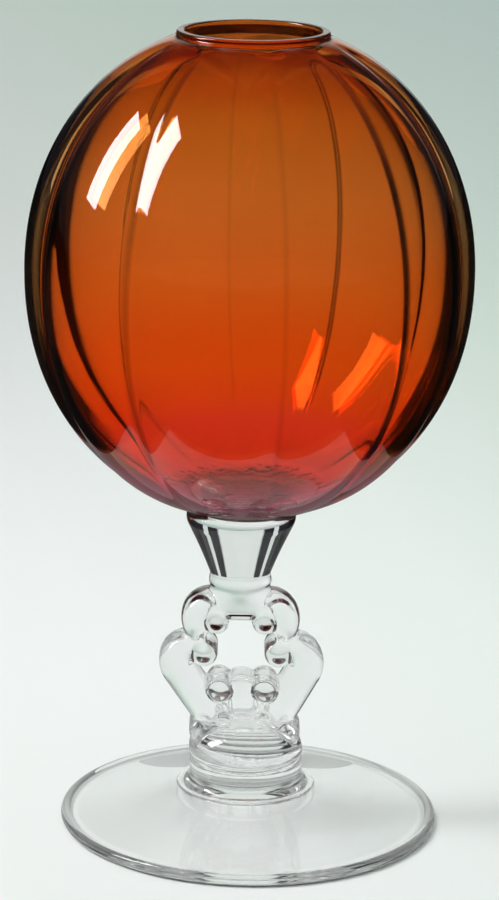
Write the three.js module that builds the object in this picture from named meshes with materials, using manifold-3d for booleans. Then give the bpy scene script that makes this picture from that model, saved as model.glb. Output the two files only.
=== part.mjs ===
// A footed globe vase of hand-made glass: a blown bowl with melon ribs on a pressed open-scroll stem,
// which a wafer joins to a spread round foot.
// Millimetres, +Z up. The table is Z = 0 and the bowl's axis is Z.
import * as THREE from "three";
import { mergeVertices } from "three/addons/utils/BufferGeometryUtils.js";
import Module from "manifold-3d";

const wasm = await Module();
wasm.setup();

// Foot: a shallow hollow cone that stands on a ground ring, with a spread collar in the middle
const footRadius = 48;
const footRimThickness = 3.1;
const footRestRing = 4;
const footBeadWidth = 3.8; // from the outside of the rolled rim to the valley inside it
const footBeadEnd = THREE.MathUtils.degToRad(135); // the rim's round ends here, past its top
const footValley = 2.6; // height of the foot's top surface in the valley
const footHeight = 16.3;
const footShift = 2; // the foot was set by hand this far off the bowl's axis, to the right
const footHollow = 7.2;
const footHollowRound = 8; // how softly the cone of the hollow is rounded at its top
const footSlopeSag = 0.5;
const collarInset = 0.2; // of the collar under the wafer
const collarFlare = 3.1; // how far the collar spreads at its foot
const collarFlareHeight = 3.4;
const collarStep = 0.3; // thickness of the collar's edge where it lies on the foot
const collarTopLength = 2.9;
const collarTopEdge = 0.2;

// Wafer: the flat gob of glass that joins the stem to the foot
const waferThickness = 1.6;
const waferShift = 1; // to the right, between the foot and the stem
const waferEdge = 0.3;

// Stem, from the bottom up: dome, post, keyhole opening, yoke and cup
const stemDepth = 12;
const domeHeight = 9.3;
const domeRadius = 14.5;
const domeFullness = 2.4; // 2 is an oval, and more is a fuller shoulder
const domeSkirt = 0.2;
const postHeight = 11.5;
const postShift = -0.4; // where the stem's lean to the left slackens
const postWidth = 5;
const postCrown = 0.7;
const postOverlap = 0.35; // the post runs this far into the rolls beside it
const postRound = 1.2;
const postStepTop = 2.2; // of the mouldings at the foot of the post, above the dome
const postStepHeight = 1;
const postStepWidth = 0.4;
const webDepth = 7; // of the thin wall between the post and the legs of the scrolls
const keyholeHeight = 15.6;

// Scrolls of the stem. The yoke is one rope that curls round an upper eye at each end.
// Under it, a lower scroll curls round an eye on each side and runs down to the dome as a leg.
const upperScrollRadius = 7.5;
const upperScrollReach = 7.5; // from the stem's axis to the middle of the upper scroll
const yokeWidth = 7;
const yokeEnd = THREE.MathUtils.degToRad(-70);
const ropeFullness = 3; // of the ropes' section, as for the dome
const upperEyeRadius = 3.2;
const upperEyeInset = 1.4; // from the middle of the scroll towards the keyhole
const lowerScrollRadius = 7.9;
const lowerScrollReach = 13;
const legWidth = 8.8;
const lowerScrollStart = THREE.MathUtils.degToRad(130);
const scrollNotchDrop = 4.2; // of the notch between the two scrolls below the yoke
const lowerEyeRadius = 3.6;
const lowerEyeInset = 3.5;
const lowerEyeRise = 3.3;
const legReach = 7.7; // from the stem's axis to the place where the leg meets the dome
const legBury = 5.8; // the leg runs this far on into the dome
const innerRollRadius = 3.25;
const innerRollDrop = 2.85; // of the roll's middle below the top of the post
const innerCurlRadius = 1.6;
const innerCurlReach = 5.4;
const innerCurlRise = 0.8;
const footVoluteRadius = 3.3;
const footVoluteReach = 10.8;
const footVoluteDrop = 2.7; // of the volute's middle below the top of the dome
const eyeProud = 0.7; // the eyes stand this far out of the scrolls' faces
const eyeRound = 2.4;
const rollRound = 1.2; // of the flatter rolls beside the post

// Cup at the top of the stem, on a saddle that grows out of the yoke
const saddleReach = 8.5; // half the saddle's width at its foot
const saddleRise = 0.2; // of the saddle's foot above the top of the keyhole
const cupHeight = 21;
const cupShift = -1.1; // the cup stands to the left of the bowl's axis
const cupLipRadius = 13.8;
const cupLipDepth = 3.4;
const cupLipEdge = 1.1;
const cupLipFlare = 0.4;
const cupNeckRadius = 7.5;
const cupRingRadius = 7.95;
const cupRingHeight = 3.1;
const cupRingRise = 1.1; // of the ring above the yoke
const cupTenon = 5; // the neck runs this far down into the yoke
const cupTenonRadius = 4.5;

// Bowl: a globe with ribs, a pad under it and a short collar round its mouth
const bowlRadius = 55.5;
const bowlCrownHeight = 61.6; // of the upper half of the round form, before the mouth cuts it
const bowlCrownFullness = 2.05; // of the bowl's profile, as for the dome
const bowlBaseHeight = 61.3; // of the lower half, before the pad cuts it
const bowlBaseFullness = 2.12;
const padCut = 0.4;
const padInset = 0.8; // of the pad inside the lip of the cup that carries it
const padEdge = 0.6;
const padFillet = 2.6;
const rimRadius = 18.7;
const rimWall = 2;
const rimEdge = 0.6;
const rimHeight = 1.5; // of the rim above the place where the shoulder would reach it
const shoulderFillet = 1;
const neckWaist = 0.4; // the collar is drawn in this far under the rim
const wallSide = 2.7;
const wallCrown = 2.2;
const wallBase = 4.5; // of the thick floor, which is flat inside
const floorFillet = 2;
const lobeCount = 10;
const lobePhase = THREE.MathUtils.degToRad(7.5); // from the front to the nearest groove
const lobeDrift = THREE.MathUtils.degToRad(5); // blowing drew the front grooves this far aside
const driftMiddle = THREE.MathUtils.degToRad(-28.5); // azimuth of the groove that was drawn furthest
const lobeSideDrift = THREE.MathUtils.degToRad(7.5); // and at the two sides this far back
const grooveDepth = 2.5;
const grooveRound = 1.1;
const grooveRunOut = 7; // the grooves fade over this much radius by the mouth and by the pad
const innerGrooveShare = 0.8;

// How finely the round forms are cut into flat faces
const bowlFacets = 6 * lobeCount;
const roundFacets = 48;
const rollFacets = 16;
const ropeFacets = 16;
const curvePieces = 4;
const edgePieces = 3;
const bowlPieces = 8;
const domePieces = 7;
const hollowPieces = 6;
const arcPieces = 8;
const yokeSteps = 24;
const legSteps = 22;

const waferBase = footHeight;
const stemBase = waferBase + waferThickness;
const domeTop = stemBase + domeHeight;
const sill = domeTop + postHeight;
const keyholeTop = sill + keyholeHeight;
const yokeTop = keyholeTop + yokeWidth;
const upperEyeZ = yokeTop - upperScrollRadius;
const lowerScrollZ = keyholeTop - scrollNotchDrop - lowerScrollRadius;
const bowlBase = yokeTop + cupHeight;
const belly = bowlBase - padCut + bowlBaseHeight;
const collarRadius = domeRadius - collarInset;
const padRadius = cupLipRadius - padInset;

// The pieces were set on one another by hand, so the middle of the vase wanders aside on its way up
function middleAt(height) {
  const set = [
    [0, footShift],
    [footHeight - collarTopLength - collarFlareHeight, waferShift],
    [stemBase, waferShift],
    [sill, postShift],
    [yokeTop, cupShift],
  ];
  const level = Math.min(height, yokeTop);
  const above = Math.max(set.findIndex(([top]) => top >= level), 1);
  const [[low, lowShift], [high, highShift]] = set.slice(above - 1, above + 1);
  return THREE.MathUtils.mapLinear(level, low, high, lowShift, highShift);
}

// A share of a cosine or sine that draws a fuller form than an oval
const fuller = (share, fullness) => Math.sign(share) * Math.abs(share) ** (2 / fullness);

function setAside(geometry) {
  const position = geometry.attributes.position;
  for (let i = 0; i < position.count; i += 1) {
    position.setX(i, position.getX(i) + middleAt(position.getZ(i)));
  }
  geometry.computeVertexNormals();
  return geometry;
}

const point = (r, z) => new THREE.Vector2(r, z);

function curveBetween(from, control, to) {
  return new THREE.QuadraticBezierCurve(from, control, to).getPoints(curvePieces);
}

function quarterRound(r, z, radius, fromAngle) {
  const arc = new THREE.EllipseCurve(r, z, radius, radius, fromAngle, fromAngle + Math.PI / 2);
  return arc.getPoints(edgePieces);
}

// A closed profile of radius and height, turned about the Z axis
function turned(profile, facets) {
  return new THREE.LatheGeometry(profile, facets).rotateX(Math.PI / 2);
}

function solidOf(geometry) {
  const bare = geometry.clone();
  bare.deleteAttribute("normal");
  bare.deleteAttribute("uv");
  const merged = mergeVertices(bare, 1e-3);
  const vertProperties = merged.attributes.position.array;
  const triVerts = new Uint32Array(merged.index.array);
  return new wasm.Manifold(new wasm.Mesh({ numProp: 3, vertProperties, triVerts }));
}

function geometryOf(solid) {
  const mesh = solid.getMesh();
  const geometry = new THREE.BufferGeometry();
  geometry.setAttribute("position", new THREE.BufferAttribute(mesh.vertProperties, 3));
  geometry.setIndex(new THREE.BufferAttribute(mesh.triVerts, 1));
  return geometry;
}

function makeFoot() {
  const rim = footRimThickness / 2;
  const restRadius = footRadius - footRestRing;
  const hollowSlope = footHollow / (Math.hypot(restRadius, footHollowRound) - footHollowRound);
  const hollow = Array.from({ length: hollowPieces }, (_, i) => {
    const r = (i / hollowPieces) * restRadius;
    return point(r, hollowSlope * (Math.hypot(restRadius, footHollowRound) - Math.hypot(r, footHollowRound)));
  });
  const bead = new THREE.EllipseCurve(footRadius - rim, rim, rim, rim, 0, footBeadEnd);
  const collarSide = point(collarRadius, footHeight - collarTopLength);
  const flareEdge = point(collarRadius + collarFlare, collarSide.y - collarFlareHeight);
  const slopeTop = point(flareEdge.x, flareEdge.y - collarStep);
  const slopeFoot = point(footRadius - footBeadWidth, footValley);
  const slopeMiddle = slopeFoot.clone().lerp(slopeTop, 0.5);
  slopeMiddle.y -= footSlopeSag;
  const foot = turned(
    [
      ...hollow,
      point(restRadius, 0),
      ...quarterRound(footRadius - rim, rim, rim, -Math.PI / 2),
      ...bead.getPoints(curvePieces).slice(1),
      ...curveBetween(slopeFoot, slopeMiddle, slopeTop),
      ...curveBetween(flareEdge, point(collarRadius, flareEdge.y), collarSide),
      point(collarRadius, footHeight - collarTopEdge),
      point(collarRadius - collarTopEdge, footHeight),
      point(0, footHeight),
    ],
    roundFacets,
  );
  return setAside(foot);
}

function makeWafer() {
  const flat = domeRadius - waferEdge;
  const wafer = turned(
    [
      point(0, waferBase),
      ...quarterRound(flat, waferBase + waferEdge, waferEdge, -Math.PI / 2),
      ...quarterRound(flat, stemBase - waferEdge, waferEdge, 0),
      point(0, stemBase),
    ],
    roundFacets,
  );
  return setAside(wafer);
}

// An upright slab of the stem, drawn in the front view as X and height, with rounded edges all round
function slab(shape, depth, round) {
  const geometry = new THREE.ExtrudeGeometry(shape, {
    depth: depth - 2 * round,
    bevelThickness: round,
    bevelSize: round,
    bevelOffset: -round,
    bevelSegments: edgePieces,
    curveSegments: curvePieces,
  });
  geometry.translate(0, 0, round - depth / 2);
  return geometry.rotateX(Math.PI / 2);
}

// A short roll of glass that lies front to back, with rounded ends
function roll(x, z, radius, softness = eyeRound) {
  const half = stemDepth / 2 + eyeProud;
  const round = Math.min(softness, radius);
  const profile = [
    point(0, -half),
    ...quarterRound(radius - round, round - half, round, -Math.PI / 2),
    ...quarterRound(radius - round, half - round, round, 0),
    point(0, half),
  ];
  return new THREE.LatheGeometry(profile, rollFacets).translate(x, 0, z);
}

// A rope of glass with a flat oval section, as deep as the stem, along a curve in the front plane
function rope(points, width, steps) {
  const outline = Array.from({ length: ropeFacets }, (_, i) => {
    const turn = (2 * Math.PI * i) / ropeFacets;
    const deep = (stemDepth / 2) * fuller(Math.cos(turn), ropeFullness);
    return point(deep, (width / 2) * fuller(Math.sin(turn), ropeFullness));
  });
  const extrudePath = new THREE.CatmullRomCurve3(points, false, "centripetal");
  return new THREE.ExtrudeGeometry(new THREE.Shape(outline), { steps, extrudePath });
}

const frontPoint = (x, z) => new THREE.Vector3(x, 0, z);

// Points round an arc in the front plane, clockwise on the right side (1) and mirrored on the left (-1)
function arcPoints(side, x, z, radius, fromAngle, toAngle) {
  const arc = new THREE.EllipseCurve(x, z, radius, radius, fromAngle, toAngle, true);
  return arc.getPoints(arcPieces).map((p) => frontPoint(side * p.x, p.y));
}

function makeYoke() {
  const line = upperScrollRadius - yokeWidth / 2;
  const right = arcPoints(1, upperScrollReach, upperEyeZ, line, Math.PI / 2, yokeEnd);
  const left = arcPoints(-1, upperScrollReach, upperEyeZ, line, Math.PI / 2, yokeEnd);
  return rope([...left.reverse(), ...right], yokeWidth, yokeSteps);
}

// The lower scroll on one side of the stem and the leg that runs down from it on its tangent
function makeLeg(side) {
  const line = lowerScrollRadius - legWidth / 2;
  const across = legReach - lowerScrollReach;
  const down = domeTop - lowerScrollZ;
  const leaving = Math.atan2(down, across) + Math.acos(line / Math.hypot(across, down));
  const round = arcPoints(side, lowerScrollReach, lowerScrollZ, line, lowerScrollStart, leaving);
  const landing = frontPoint(side * legReach, domeTop);
  const along = landing.clone().sub(round.at(-1)).normalize();
  return rope([...round, landing.addScaledVector(along, legBury)], legWidth, legSteps);
}

// The eyes of the scrolls on one side, the roll and the curl beside the post and the volute on the dome
function makeRolls(side) {
  return [
    roll(side * (upperScrollReach - upperEyeInset), upperEyeZ, upperEyeRadius),
    roll(side * (lowerScrollReach - lowerEyeInset), lowerScrollZ + lowerEyeRise, lowerEyeRadius),
    roll(side * (postWidth / 2 + innerRollRadius), sill - innerRollDrop, innerRollRadius, rollRound),
    roll(side * innerCurlReach, domeTop + innerCurlRise, innerCurlRadius, rollRound),
    roll(side * footVoluteReach, domeTop - footVoluteDrop, footVoluteRadius),
  ];
}

// The thin wall that closes the gaps between the post and the legs, under the inner rolls
function makeWeb() {
  const outline = new THREE.Shape();
  outline.moveTo(-legReach, stemBase + domeSkirt);
  outline.lineTo(legReach, stemBase + domeSkirt);
  outline.lineTo(lowerScrollReach, sill - innerRollRadius);
  outline.lineTo(-lowerScrollReach, sill - innerRollRadius);
  return slab(outline, webDepth, postRound);
}

function makePost() {
  const half = postWidth / 2 + postOverlap;
  const outline = new THREE.Shape();
  outline.moveTo(-half, stemBase + domeSkirt);
  outline.lineTo(half, stemBase + domeSkirt);
  outline.lineTo(half, sill - postCrown);
  outline.quadraticCurveTo(0, sill + postCrown, -half, sill - postCrown);
  return slab(outline, stemDepth, postRound);
}

// One of the low mouldings round the bottom of the post, the lower the wider
function makePostStep(order) {
  const widening = order * postStepWidth;
  const half = postWidth / 2 + postOverlap + widening;
  const top = domeTop + postStepTop - order * postStepHeight;
  const outline = new THREE.Shape();
  outline.moveTo(-half, stemBase + domeSkirt);
  outline.lineTo(half, stemBase + domeSkirt);
  outline.lineTo(half, top);
  outline.lineTo(-half, top);
  return slab(outline, stemDepth + 2 * widening, postStepWidth);
}

function makeDome() {
  const round = Array.from({ length: domePieces }, (_, i) => {
    const angle = (i / domePieces) * (Math.PI / 2);
    const up = (domeHeight - domeSkirt) * fuller(Math.sin(angle), domeFullness);
    return point(domeRadius * fuller(Math.cos(angle), domeFullness), stemBase + domeSkirt + up);
  });
  return turned(
    [point(0, stemBase), point(domeRadius - domeSkirt, stemBase), ...round, point(0, domeTop)],
    roundFacets,
  );
}

// The block between the yoke and the cup's neck, broad below and round where it meets the neck
function makeSaddle() {
  const foot = keyholeTop + saddleRise;
  const head = yokeTop + cupRingRise;
  const geometry = turned([point(0, foot), point(1, foot), point(1, head), point(0, head)], roundFacets);
  const position = geometry.attributes.position;
  for (let i = 0; i < position.count; i += 1) {
    const atFoot = position.getZ(i) < (foot + head) / 2;
    const broad = atFoot ? saddleReach : cupNeckRadius;
    const deep = atFoot ? stemDepth / 2 : cupNeckRadius;
    position.setXY(i, broad * position.getX(i), deep * position.getY(i));
  }
  return geometry;
}

function makeCup() {
  const neckFoot = point(cupNeckRadius, yokeTop + cupRingRise);
  const neckTop = point(cupNeckRadius, neckFoot.y + cupRingHeight);
  const ringControl = point(2 * cupRingRadius - cupNeckRadius, neckFoot.y + cupRingHeight / 2);
  const lipFoot = point(cupLipRadius - cupLipFlare, bowlBase - cupLipDepth);
  const flareControl = neckTop.clone().lerp(lipFoot, 0.5);
  flareControl.x -= cupLipFlare;
  const tenonFoot = point(cupTenonRadius, yokeTop - cupTenon);
  const tenonControl = point(cupNeckRadius, yokeTop - cupTenon / 2);
  return turned(
    [
      point(0, tenonFoot.y),
      ...curveBetween(tenonFoot, tenonControl, neckFoot),
      ...curveBetween(neckFoot, ringControl, neckTop).slice(1),
      ...curveBetween(neckTop, flareControl, lipFoot).slice(1),
      ...quarterRound(cupLipRadius - cupLipEdge, bowlBase - cupLipEdge, cupLipEdge, 0),
      point(0, bowlBase),
    ],
    roundFacets,
  );
}

function makeStem() {
  const pieces = [
    makeDome(),
    makeWeb(),
    makePost(),
    makePostStep(1),
    makePostStep(2),
    makeLeg(1),
    makeLeg(-1),
    makeYoke(),
    makeSaddle(),
    makeCup(),
    ...makeRolls(1),
    ...makeRolls(-1),
  ];
  return setAside(geometryOf(pieces.map(solidOf).reduce((whole, piece) => whole.add(piece))));
}

// One half of a round form, upwards or downwards from the belly
class HalfRound {
  constructor(radius, rise, direction, fullness) {
    Object.assign(this, { radius, rise, direction, fullness });
  }

  heightAt(radius) {
    const share = 1 - (radius / this.radius) ** this.fullness;
    return belly + this.direction * this.rise * share ** (1 / this.fullness);
  }

  radiusAt(height) {
    const share = 1 - (Math.abs(height - belly) / this.rise) ** this.fullness;
    return this.radius * share ** (1 / this.fullness);
  }

  points(fromRadius, toRadius) {
    const first = Math.acos((fromRadius / this.radius) ** (this.fullness / 2));
    const last = Math.acos((toRadius / this.radius) ** (this.fullness / 2));
    return Array.from({ length: bowlPieces + 1 }, (_, i) => {
      const angle = first + ((last - first) * i) / bowlPieces;
      const height = belly + this.direction * this.rise * fuller(Math.sin(angle), this.fullness);
      return point(this.radius * fuller(Math.cos(angle), this.fullness), height);
    });
  }
}

const innerRadius = bowlRadius - wallSide;
const outerCrown = new HalfRound(bowlRadius, bowlCrownHeight, 1, bowlCrownFullness);
const outerBase = new HalfRound(bowlRadius, bowlBaseHeight, -1, bowlBaseFullness);
const innerCrown = new HalfRound(innerRadius, bowlCrownHeight - wallCrown, 1, bowlCrownFullness);
const innerBase = new HalfRound(innerRadius, bowlBaseHeight - wallSide, -1, bowlBaseFullness);
const rimTop = outerCrown.heightAt(rimRadius) + rimHeight;

// How far out the ribbed wall lies at an azimuth, as a share of the radius at the crest of a rib
function ribShare(azimuth) {
  const half = Math.PI / lobeCount;
  const inFront = Math.max(Math.cos(azimuth), 0);
  const drift = lobeDrift * inFront * Math.cos(3 * (azimuth - driftMiddle));
  const sideDrift = lobeSideDrift * Math.sin(azimuth) ** 4;
  const evened = azimuth + drift + sideDrift;
  const turn = THREE.MathUtils.euclideanModulo(evened - lobePhase + half, 2 * half) - half;
  const round = grooveRound / bowlRadius;
  const fromGroove = Math.hypot(turn, round) - Math.hypot(half, round) + half;
  const fromCrest = half - fromGroove;
  // each rib is an arc that turns more sharply than the bowl, about a centre part of the way out
  const groove = 1 - grooveDepth / bowlRadius;
  const centre = (1 - groove ** 2) / (2 * (1 - groove * Math.cos(half)));
  return centre * Math.cos(fromCrest) + Math.sqrt((1 - centre) ** 2 - (centre * Math.sin(fromCrest)) ** 2);
}

function makeBowl() {
  const rimSide = rimTop - rimEdge;
  const mouth = rimRadius - rimWall;
  const baseRadius = padRadius + padFillet;
  const padSide = point(padRadius, bowlBase + padEdge);
  const baseStart = point(baseRadius, outerBase.heightAt(baseRadius));
  const padControl = point(padRadius, baseStart.y - padEdge / 2);
  const shoulderRadius = rimRadius + shoulderFillet;
  const shoulder = point(shoulderRadius, outerCrown.heightAt(shoulderRadius));
  const neckControl = point(rimRadius - neckWaist, shoulder.y + neckWaist);
  const innerShoulderRadius = mouth + shoulderFillet;
  const innerShoulder = point(innerShoulderRadius, innerCrown.heightAt(innerShoulderRadius));
  const floorCorner = point(innerBase.radiusAt(bowlBase + wallBase), bowlBase + wallBase);
  const floorSide = point(floorCorner.x + floorFillet, innerBase.heightAt(floorCorner.x + floorFillet));
  const floorEdge = point(floorCorner.x - floorFillet, floorCorner.y);
  const outer = [
    point(0, bowlBase),
    point(padRadius - padEdge, bowlBase),
    ...curveBetween(padSide, padControl, baseStart),
    ...outerBase.points(baseRadius, bowlRadius).slice(1),
    ...outerCrown.points(bowlRadius, shoulderRadius).slice(1),
    ...curveBetween(shoulder, neckControl, point(rimRadius, rimSide)).slice(1),
    ...quarterRound(rimRadius - rimEdge, rimSide, rimEdge, 0).slice(1),
  ];
  const inner = [
    ...quarterRound(mouth + rimEdge, rimSide, rimEdge, Math.PI / 2),
    ...curveBetween(point(mouth, rimSide - rimEdge), point(mouth, innerShoulder.y), innerShoulder),
    ...innerCrown.points(innerShoulderRadius, innerRadius).slice(1),
    ...innerBase.points(innerRadius, floorSide.x).slice(1),
    ...curveBetween(floorSide, floorCorner, floorEdge).slice(1),
    point(0, floorCorner.y),
  ];
  const geometry = turned([...outer, ...inner], bowlFacets);
  const position = geometry.attributes.position;
  const ringSize = outer.length + inner.length;
  for (let i = 0; i < position.count; i += 1) {
    const x = position.getX(i);
    const y = position.getY(i);
    const share = i % ringSize < outer.length ? 1 : innerGrooveShare;
    const fade = THREE.MathUtils.smoothstep(Math.hypot(x, y), rimRadius, rimRadius + grooveRunOut);
    const azimuth = Math.atan2(y, x) + Math.PI / 2;
    const scale = 1 - share * fade * (1 - ribShare(azimuth));
    position.setXY(i, x * scale, y * scale);
  }
  geometry.computeVertexNormals();
  return geometry;
}

const clearGlass = new THREE.MeshStandardMaterial({ color: 0xe6ece8, roughness: 0.05, metalness: 0 });
const waferGlass = new THREE.MeshStandardMaterial({ color: 0xdfe6e2, roughness: 0.08, metalness: 0 });
const amberGlass = new THREE.MeshStandardMaterial({ color: 0xc8501a, roughness: 0.05, metalness: 0 });

function named(name, geometry, material) {
  const mesh = new THREE.Mesh(geometry, material);
  mesh.name = name;
  return mesh;
}

const vase = new THREE.Group();
vase.add(
  named("foot", makeFoot(), clearGlass),
  named("foot_wafer", makeWafer(), waferGlass),
  named("stem", makeStem(), clearGlass),
  named("bowl", makeBowl(), amberGlass),
);

export default vase;
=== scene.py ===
# A footed globe vase: an amber bowl with melon ribs on a clear open-scroll stem and a round foot.
# Metres, +Z up. The table is Z = 0 and the bowl's axis is Z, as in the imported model.
import math

import bmesh
import bpy
from mathutils import Matrix, Vector


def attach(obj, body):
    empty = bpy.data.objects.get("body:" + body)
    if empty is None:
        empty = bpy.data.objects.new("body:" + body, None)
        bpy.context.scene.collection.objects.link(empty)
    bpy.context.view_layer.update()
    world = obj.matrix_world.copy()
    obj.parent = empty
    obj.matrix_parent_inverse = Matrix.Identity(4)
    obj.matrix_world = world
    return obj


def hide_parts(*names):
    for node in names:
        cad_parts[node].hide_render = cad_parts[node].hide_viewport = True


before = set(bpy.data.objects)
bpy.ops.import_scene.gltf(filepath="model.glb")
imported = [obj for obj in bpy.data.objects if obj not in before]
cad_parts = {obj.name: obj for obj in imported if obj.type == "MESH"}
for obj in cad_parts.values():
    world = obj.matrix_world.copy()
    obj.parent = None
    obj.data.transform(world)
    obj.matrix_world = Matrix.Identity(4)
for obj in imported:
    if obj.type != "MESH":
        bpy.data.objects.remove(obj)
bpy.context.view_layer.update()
scene = bpy.context.scene


# Foot: a spread round foot of clear glass, hollow underneath, that stands on a ground ring at its rim.
# It was spun to shape while soft, and a short collar in its middle carries the wafer.
MM = 0.001
FOOT_RADIUS = 48.0
FOOT_RIM = 1.55
FOOT_VALLEY = (44.2, 2.6)  # radius and height of the valley inside the rolled rim
FOOT_REST = 44.0  # inner radius of the flat ring that it stands on
GROUND_INNER = 45.6  # from here out to the turn of the rim the glass is left ground
GROUND_TOP = 0.9
FOOT_HOLLOW = 7.2
HOLLOW_ROUND = 8.0  # how softly the cone of the hollow is rounded at its top
COLLAR_RADIUS = 14.3
COLLAR_SPREAD = 17.4
COLLAR_FOOT = 10.0
COLLAR_FLARE = 13.4  # height at which the flare of the collar has turned upright
COLLAR_SIDE = 16.0
FOOT_TOP = 16.3
SLOPE_DROP = 0.3  # from the foot of the collar down to the slope
SLOPE_SAG = 0.5
FOOT_MELT = 0.8  # reach of the melted corners
TURN_FACETS = 192
WAFER_SEAT = 14.3  # radius of the fused joint under and over the wafer
LEAN = (  # heights of table, collar, wafer, sill and yoke, and how far to the right each one is set
    (0.0, 2.0),
    (COLLAR_FOOT, 1.0),
    (17.9, 1.0),
    (38.7, -0.4),
    (61.3, -1.1),
)


def middle_at(z):
    """How far to the right of the bowl's axis the hand-set middle of foot and stem lies at a height."""
    for (low, aside_low), (high, aside_high) in zip(LEAN, LEAN[1:]):
        if z < high:
            return aside_low + (aside_high - aside_low) * (z - low) / (high - low)
    return LEAN[-1][1]


def bend(start, control, end, steps=12):
    """Points (radius, height) on one curve from start to end that heads for control."""
    points = []
    for i in range(steps + 1):
        t = i / steps
        weights = ((1 - t) ** 2, 2 * t * (1 - t), t**2)
        points.append(tuple(sum(w * p[k] for w, p in zip(weights, (start, control, end))) for k in (0, 1)))
    return points


def quarter_round(r, z, radius, first, steps=8):
    """A quarter of a circle about (r, z), from the angle first in degrees."""
    angles = [math.radians(first + 90 * i / steps) for i in range(steps + 1)]
    return [(r + radius * math.cos(a), z + radius * math.sin(a)) for a in angles]


def softened(profile, reach):
    """The profile with each hard corner melted round over at most this reach."""
    soft = [profile[0]]
    for before, corner, after in zip(profile, profile[1:], profile[2:]):
        back = Vector(before) - Vector(corner)
        on = Vector(after) - Vector(corner)
        if back.length < 1e-6 or on.length < 1e-6 or math.pi - back.angle(on) < math.radians(14):
            soft.append(corner)
            continue
        first = Vector(corner) + back.normalized() * min(reach, 0.45 * back.length)
        last = Vector(corner) + on.normalized() * min(reach, 0.45 * on.length)
        soft += bend(tuple(first), corner, tuple(last), 6)
    return soft + [profile[-1]]


def even_turn(count):
    """Angles of so many equal steps round a full turn."""
    return [2 * math.pi * i / count for i in range(count)]


def turned(name, profile, angles, leaning=True):
    """A closed mesh of the profile (radius, height in mm) turned about the middle, or else about Z."""
    bm = bmesh.new()
    rings = []
    for r, z in profile:
        spread = angles if r > 1e-6 else [0.0]
        aside = middle_at(z) if leaning else 0.0
        corners = [(aside + r * math.cos(a), r * math.sin(a), z) for a in spread]
        rings.append([bm.verts.new(Vector(corner) * MM) for corner in corners])
    for low, high in zip(rings, rings[1:]):
        for i in range(len(angles)):
            j = (i + 1) % len(angles)
            corners = [low[i % len(low)], low[j % len(low)], high[j % len(high)], high[i % len(high)]]
            bm.faces.new(dict.fromkeys(corners))
    for face in bm.faces:
        face.smooth = True
    mesh = bpy.data.meshes.new(name)
    bm.to_mesh(mesh)
    bm.free()
    piece = bpy.data.objects.new(name, mesh)
    scene.collection.objects.link(piece)
    return piece


def fuse(piece, heights):
    """Gives the faces that are melted into the neighbour at these heights the seam's own material."""
    piece.data.materials.append(fused_seam)
    seam = len(piece.data.materials) - 1
    for face in piece.data.polygons:
        levels = [piece.data.vertices[v].co.z / MM for v in face.vertices]
        if any(max(abs(z - height) for z in levels) < 0.002 for height in heights):
            face.material_index = seam


def link(tree, source, target):
    tree.links.new(source, target)


def striae_group():
    """Cords and clouds in hand-worked glass: a colour, a roughness and a height over the surface."""
    group = bpy.data.node_groups.new("glass_striae", "ShaderNodeTree")
    sockets = group.interface
    for name, kind, value in (
        ("Vector", "NodeSocketVector", None),
        ("Scale", "NodeSocketFloat", 200.0),
        ("Pale", "NodeSocketColor", (1, 1, 1, 1)),
        ("Deep", "NodeSocketColor", (0.9, 0.9, 0.9, 1)),
        ("Polish", "NodeSocketFloat", 0.0),
        ("Haze", "NodeSocketFloat", 0.02),
    ):
        made = sockets.new_socket(name=name, in_out="INPUT", socket_type=kind)
        if value is not None:
            made.default_value = value
    for name, kind in (
        ("Color", "NodeSocketColor"),
        ("Roughness", "NodeSocketFloat"),
        ("Height", "NodeSocketFloat"),
    ):
        sockets.new_socket(name=name, in_out="OUTPUT", socket_type=kind)
    nodes = group.nodes
    given = nodes.new("NodeGroupInput")
    result = nodes.new("NodeGroupOutput")
    cloud = nodes.new("ShaderNodeTexNoise")
    cloud.inputs["Detail"].default_value = 3.0
    cloud.inputs["Roughness"].default_value = 0.45
    link(group, given.outputs["Vector"], cloud.inputs["Vector"])
    link(group, given.outputs["Scale"], cloud.inputs["Scale"])
    tint = nodes.new("ShaderNodeMix")
    tint.data_type = "RGBA"
    link(group, cloud.outputs["Fac"], tint.inputs["Factor"])
    link(group, given.outputs["Pale"], tint.inputs["A"])
    link(group, given.outputs["Deep"], tint.inputs["B"])
    gloss = nodes.new("ShaderNodeMapRange")
    link(group, cloud.outputs["Fac"], gloss.inputs["Value"])
    gloss.inputs["From Min"].default_value = 0.3
    gloss.inputs["From Max"].default_value = 0.75
    link(group, given.outputs["Polish"], gloss.inputs["To Min"])
    link(group, given.outputs["Haze"], gloss.inputs["To Max"])
    link(group, tint.outputs["Result"], result.inputs["Color"])
    link(group, gloss.outputs["Result"], result.inputs["Roughness"])
    link(group, cloud.outputs["Fac"], result.inputs["Height"])
    return group


def bare_material(name):
    """A new material, its tree and the tree's nodes, of which it has none yet."""
    material = bpy.data.materials.new(name)
    material.use_nodes = True
    material.node_tree.nodes.clear()
    return material, material.node_tree, material.node_tree.nodes


def finish_glass(tree, glass, shadow):
    """Ends a glass material, which lets shadow rays straight through with only this tint."""
    passing = tree.nodes.new("ShaderNodeBsdfTransparent")
    passing.inputs["Color"].default_value = (*shadow, 1)
    rays = tree.nodes.new("ShaderNodeLightPath")
    either = tree.nodes.new("ShaderNodeMixShader")
    link(tree, rays.outputs["Is Shadow Ray"], either.inputs["Fac"])
    link(tree, glass.outputs["BSDF"], either.inputs[1])
    link(tree, passing.outputs["BSDF"], either.inputs[2])
    finish = tree.nodes.new("ShaderNodeOutputMaterial")
    link(tree, either.outputs["Shader"], finish.inputs["Surface"])


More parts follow.
